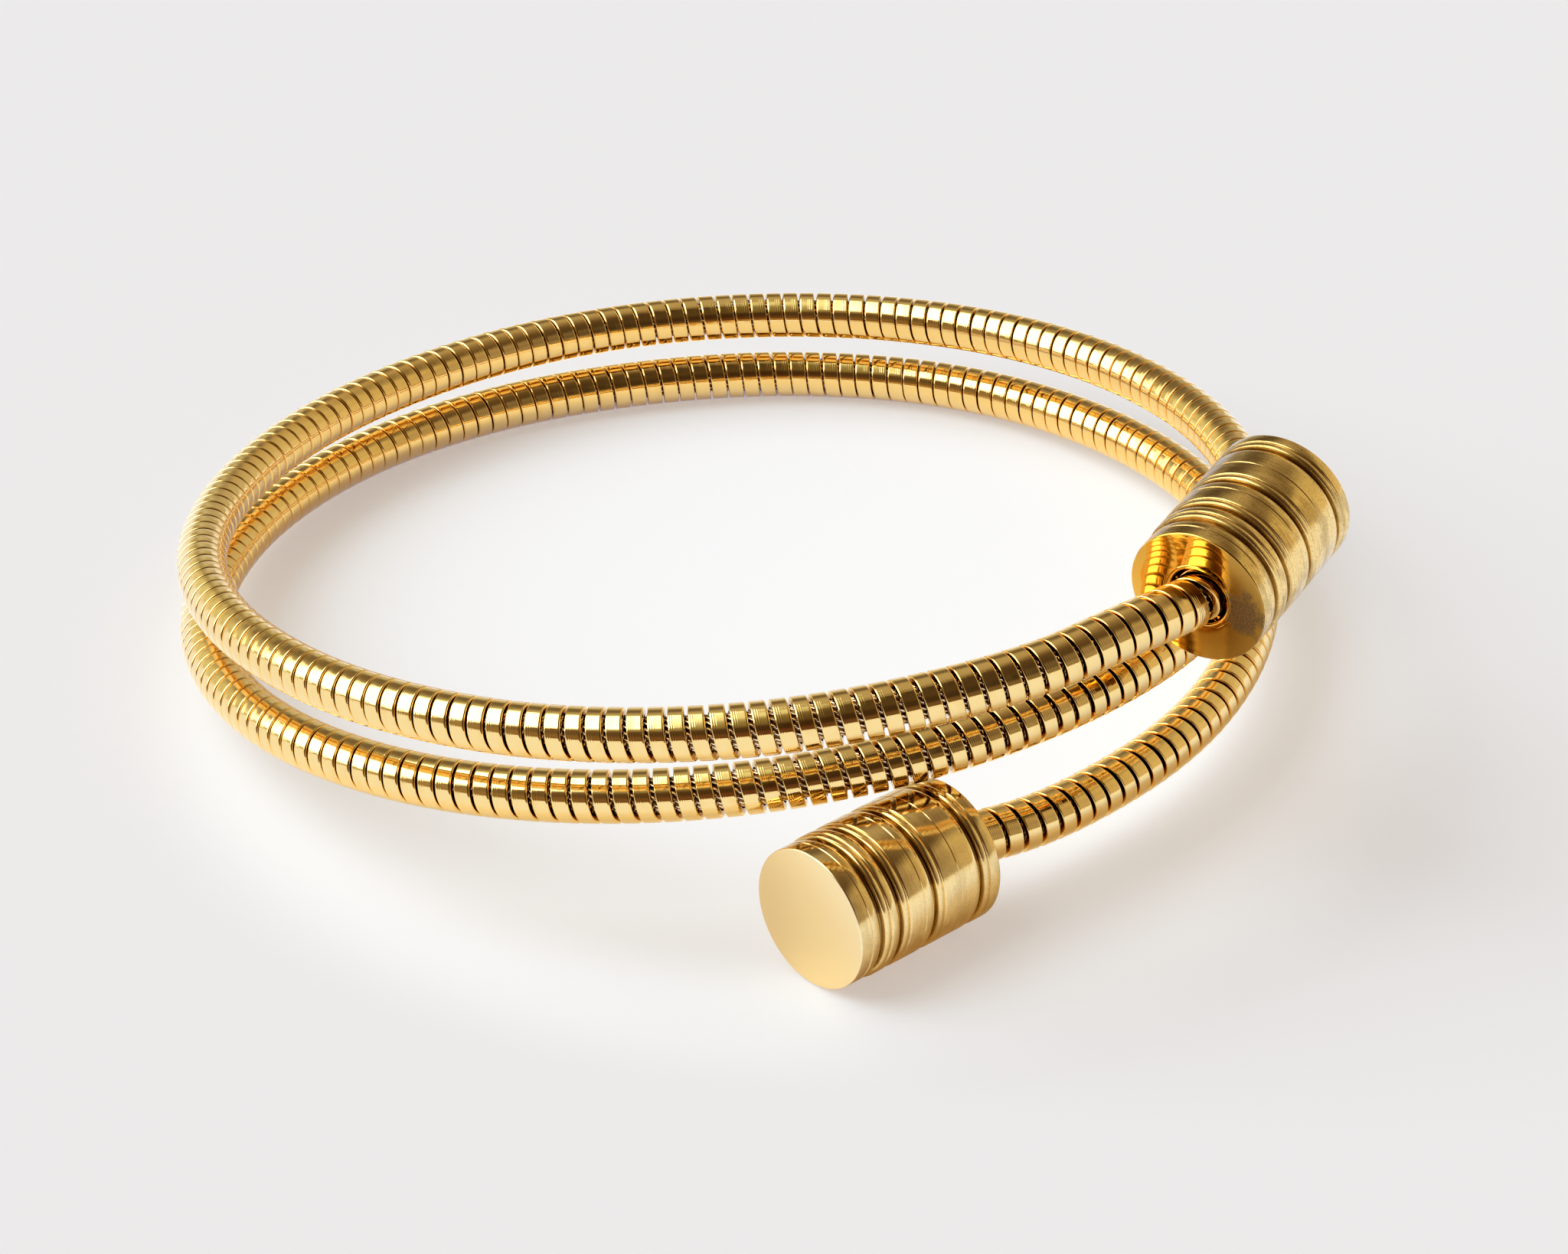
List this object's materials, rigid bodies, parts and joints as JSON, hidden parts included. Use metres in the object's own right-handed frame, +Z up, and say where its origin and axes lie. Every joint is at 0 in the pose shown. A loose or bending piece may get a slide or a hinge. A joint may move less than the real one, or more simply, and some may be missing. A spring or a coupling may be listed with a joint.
{
  "type": "double-wrap coil bangle bracelet",
  "caption": "Springy double-wrap bangle: a flexible hose of wound metal ribbon coiled twice round the wrist, with a turned grooved cap on each end.",
  "frame": {"origin": "middle of the bangle's outline seen from above, on the surface that it lies on", "axes": "+Z up out of the surface and along the coil's axis, +X to the right and +Y away from the viewer"},
  "size_m": [0.0682, 0.0746, 0.0225],
  "materials": {
    "ribbon_gold": "polished yellow gold with fine wound streaks",
    "core_gold": "duller gold, in the grooves",
    "cap_gold": "turned and polished, lightly tarnished"
  },
  "bodies": {
    "root": {"wound_ribbon": "ribbon_gold", "core_cable": "core_gold", "lower_end_cap": "cap_gold", "upper_end_cap": "cap_gold"}
  },
  "joints": []
}
